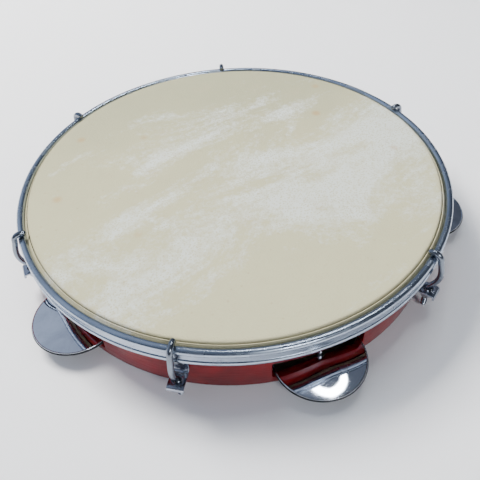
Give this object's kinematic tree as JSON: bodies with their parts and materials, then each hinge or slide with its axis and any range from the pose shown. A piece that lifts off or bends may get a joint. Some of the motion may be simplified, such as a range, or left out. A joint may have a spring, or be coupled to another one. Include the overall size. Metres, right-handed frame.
{
  "type": "tambourine",
  "caption": "Round hand drum with a rod-tensioned natural skin, a red lacquered shell, a steel hoop and loose metal jingle sets in slots, set level on its open side.",
  "frame": {"origin": "on the surface that the drum stands on, under the middle of its whole outline with the jingles; the shell's axis is at x = -9.2 mm, y = 2.1 mm", "axes": "+Z from the open side up to the skin; -Y is the side seen from the front; +X is to the right, towards the second jingle set"},
  "size_m": [0.341, 0.3408, 0.0548],
  "materials": {
    "red_lacquer": "stained bent wood under clear gloss lacquer",
    "goat_skin": "natural goatskin, matt with powdery mottling",
    "plated_steel": "bright plating",
    "zinc_fastener": "zinc plated, satin",
    "steel_wire": "drawn wire",
    "polished_nickel": "pressed and polished",
    "dull_nickel": "flat sheet, satin"
  },
  "bodies": {
    "drum": {"shell": "red_lacquer", "drumhead": "goat_skin", "flesh_hoop": "steel_wire", "counter_hoop": "plated_steel", "lug_1": "plated_steel", "lug_rivet_1": "zinc_fastener", "nut_washer_1": "zinc_fastener", "lug_2": "plated_steel", "lug_rivet_2": "zinc_fastener", "nut_washer_2": "zinc_fastener", "lug_3": "plated_steel", "lug_rivet_3": "zinc_fastener", "nut_washer_3": "zinc_fastener", "lug_4": "plated_steel", "lug_rivet_4": "zinc_fastener", "nut_washer_4": "zinc_fastener", "lug_5": "plated_steel", "lug_rivet_5": "zinc_fastener", "nut_washer_5": "zinc_fastener", "lug_6": "plated_steel", "lug_rivet_6": "zinc_fastener", "nut_washer_6": "zinc_fastener"},
    "tension_nut_1": {"tension_nut_1": "zinc_fastener"},
    "tension_hook_1": {"tension_hook_1": "plated_steel"},
    "tension_nut_2": {"tension_nut_2": "zinc_fastener"},
    "tension_hook_2": {"tension_hook_2": "plated_steel"},
    "tension_nut_3": {"tension_nut_3": "zinc_fastener"},
    "tension_hook_3": {"tension_hook_3": "plated_steel"},
    "tension_nut_4": {"tension_nut_4": "zinc_fastener"},
    "tension_hook_4": {"tension_hook_4": "plated_steel"},
    "tension_nut_5": {"tension_nut_5": "zinc_fastener"},
    "tension_hook_5": {"tension_hook_5": "plated_steel"},
    "tension_nut_6": {"tension_nut_6": "zinc_fastener"},
    "tension_hook_6": {"tension_hook_6": "plated_steel"},
    "jingle_pin_1": {"jingle_pin_1": "steel_wire"},
    "lower_jingle_1": {"lower_jingle_1": "polished_nickel"},
    "damper_disc_1": {"damper_disc_1": "dull_nickel"},
    "upper_jingle_1": {"upper_jingle_1": "polished_nickel"},
    "jingle_pin_2": {"jingle_pin_2": "steel_wire"},
    "lower_jingle_2": {"lower_jingle_2": "polished_nickel"},
    "damper_disc_2": {"damper_disc_2": "dull_nickel"},
    "upper_jingle_2": {"upper_jingle_2": "polished_nickel"},
    "jingle_pin_3": {"jingle_pin_3": "steel_wire"},
    "lower_jingle_3": {"lower_jingle_3": "polished_nickel"},
    "damper_disc_3": {"damper_disc_3": "dull_nickel"},
    "upper_jingle_3": {"upper_jingle_3": "polished_nickel"},
    "jingle_pin_4": {"jingle_pin_4": "steel_wire"},
    "lower_jingle_4": {"lower_jingle_4": "polished_nickel"},
    "damper_disc_4": {"damper_disc_4": "dull_nickel"},
    "upper_jingle_4": {"upper_jingle_4": "polished_nickel"},
    "jingle_pin_5": {"jingle_pin_5": "steel_wire"},
    "lower_jingle_5": {"lower_jingle_5": "polished_nickel"},
    "damper_disc_5": {"damper_disc_5": "dull_nickel"},
    "upper_jingle_5": {"upper_jingle_5": "polished_nickel"}
  },
  "joints": [
    {"name": "nut_turn_1", "type": "hinge", "parent": "drum", "child": "tension_nut_1", "pos_m": [-0.04951, -0.15377, 0.0143], "axis": [0, 0, -1], "range_deg": [0, 1080]},
    {"name": "hook_slide_1", "type": "slide", "parent": "drum", "child": "tension_hook_1", "axis": [0, 0, 1], "range_m": [0, 0.0021]},
    {"name": "nut_turn_2", "type": "hinge", "parent": "drum", "child": "tension_nut_2", "pos_m": [0.11784, -0.0968, 0.0143], "axis": [0, 0, -1], "range_deg": [0, 1080]},
    {"name": "hook_slide_2", "type": "slide", "parent": "drum", "child": "tension_hook_2", "axis": [0, 0, 1], "range_m": [0, 0.0021]},
    {"name": "nut_turn_3", "type": "hinge", "parent": "drum", "child": "tension_nut_3", "pos_m": [0.13451, 0.07469, 0.0143], "axis": [0, 0, -1], "range_deg": [0, 1080]},
    {"name": "hook_slide_3", "type": "slide", "parent": "drum", "child": "tension_hook_3", "axis": [0, 0, 1], "range_m": [0, 0.0021]},
    {"name": "nut_turn_4", "type": "hinge", "parent": "drum", "child": "tension_nut_4", "pos_m": [-0.01454, 0.16301, 0.0143], "axis": [0, 0, -1], "range_deg": [0, 1080]},
    {"name": "hook_slide_4", "type": "slide", "parent": "drum", "child": "tension_hook_4", "axis": [0, 0, 1], "range_m": [0, 0.0021]},
    {"name": "nut_turn_5", "type": "hinge", "parent": "drum", "child": "tension_nut_5", "pos_m": [-0.14267, 0.09213, 0.0143], "axis": [0, 0, -1], "range_deg": [0, 1080]},
    {"name": "hook_slide_5", "type": "slide", "parent": "drum", "child": "tension_hook_5", "axis": [0, 0, 1], "range_m": [0, 0.0021]},
    {"name": "nut_turn_6", "type": "hinge", "parent": "drum", "child": "tension_nut_6", "pos_m": [-0.15961, -0.05534, 0.0143], "axis": [0, 0, -1], "range_deg": [0, 1080]},
    {"name": "hook_slide_6", "type": "slide", "parent": "drum", "child": "tension_hook_6", "axis": [0, 0, 1], "range_m": [0, 0.0021]},
    {"name": "jingle_spin_1", "type": "hinge", "parent": "drum", "child": "jingle_pin_1", "pos_m": [0.03861, -0.13997, 0], "axis": [0, 0, 1], "continuous": true},
    {"name": "lower_jingle_slide_1", "type": "slide", "parent": "jingle_pin_1", "child": "lower_jingle_1", "axis": [0, 0, 1], "range_m": [0, 0.002]},
    {"name": "damper_slide_1", "type": "slide", "parent": "lower_jingle_1", "child": "damper_disc_1", "axis": [0, 0, 1], "range_m": [0, 0.002]},
    {"name": "upper_jingle_slide_1", "type": "slide", "parent": "damper_disc_1", "child": "upper_jingle_1", "axis": [0, 0, 1], "range_m": [0, 0.002]},
    {"name": "jingle_spin_2", "type": "hinge", "parent": "drum", "child": "jingle_pin_2", "pos_m": [0.14006, -0.01175, 0], "axis": [0, 0, 1], "continuous": true},
    {"name": "lower_jingle_slide_2", "type": "slide", "parent": "jingle_pin_2", "child": "lower_jingle_2", "axis": [0, 0, 1], "range_m": [0, 0.002]},
    {"name": "damper_slide_2", "type": "slide", "parent": "lower_jingle_2", "child": "damper_disc_2", "axis": [0, 0, 1], "range_m": [0, 0.002]},
    {"name": "upper_jingle_slide_2", "type": "slide", "parent": "damper_disc_2", "child": "upper_jingle_2", "axis": [0, 0, 1], "range_m": [0, 0.002]},
    {"name": "jingle_spin_3", "type": "hinge", "parent": "drum", "child": "jingle_pin_3", "pos_m": [0.0671, 0.13112, 0], "axis": [0, 0, 1], "continuous": true},
    {"name": "lower_jingle_slide_3", "type": "slide", "parent": "jingle_pin_3", "child": "lower_jingle_3", "axis": [0, 0, 1], "range_m": [0, 0.002]},
    {"name": "damper_slide_3", "type": "slide", "parent": "lower_jingle_3", "child": "damper_disc_3", "axis": [0, 0, 1], "range_m": [0, 0.002]},
    {"name": "upper_jingle_slide_3", "type": "slide", "parent": "damper_disc_3", "child": "upper_jingle_3", "axis": [0, 0, 1], "range_m": [0, 0.002]},
    {"name": "jingle_spin_4", "type": "hinge", "parent": "drum", "child": "jingle_pin_4", "pos_m": [-0.08187, 0.1332, 0], "axis": [0, 0, 1], "continuous": true},
    {"name": "lower_jingle_slide_4", "type": "slide", "parent": "jingle_pin_4", "child": "lower_jingle_4", "axis": [0, 0, 1], "range_m": [0, 0.002]},
    {"name": "damper_slide_4", "type": "slide", "parent": "lower_jingle_4", "child": "damper_disc_4", "axis": [0, 0, 1], "range_m": [0, 0.002]},
    {"name": "upper_jingle_slide_4", "type": "slide", "parent": "damper_disc_4", "child": "upper_jingle_4", "axis": [0, 0, 1], "range_m": [0, 0.002]},
    {"name": "jingle_spin_5", "type": "hinge", "parent": "drum", "child": "jingle_pin_5", "pos_m": [-0.12199, -0.09664, 0], "axis": [0, 0, 1], "continuous": true},
    {"name": "lower_jingle_slide_5", "type": "slide", "parent": "jingle_pin_5", "child": "lower_jingle_5", "axis": [0, 0, 1], "range_m": [0, 0.002]},
    {"name": "damper_slide_5", "type": "slide", "parent": "lower_jingle_5", "child": "damper_disc_5", "axis": [0, 0, 1], "range_m": [0, 0.002]},
    {"name": "upper_jingle_slide_5", "type": "slide", "parent": "damper_disc_5", "child": "upper_jingle_5", "axis": [0, 0, 1], "range_m": [0, 0.002]}
  ],
  "couplings": [
    {"joint": "hook_slide_1", "follows": "nut_turn_1", "m_per_rad": 0.00011141},
    {"joint": "hook_slide_2", "follows": "nut_turn_2", "m_per_rad": 0.00011141},
    {"joint": "hook_slide_3", "follows": "nut_turn_3", "m_per_rad": 0.00011141},
    {"joint": "hook_slide_4", "follows": "nut_turn_4", "m_per_rad": 0.00011141},
    {"joint": "hook_slide_5", "follows": "nut_turn_5", "m_per_rad": 0.00011141},
    {"joint": "hook_slide_6", "follows": "nut_turn_6", "m_per_rad": 0.00011141}
  ]
}
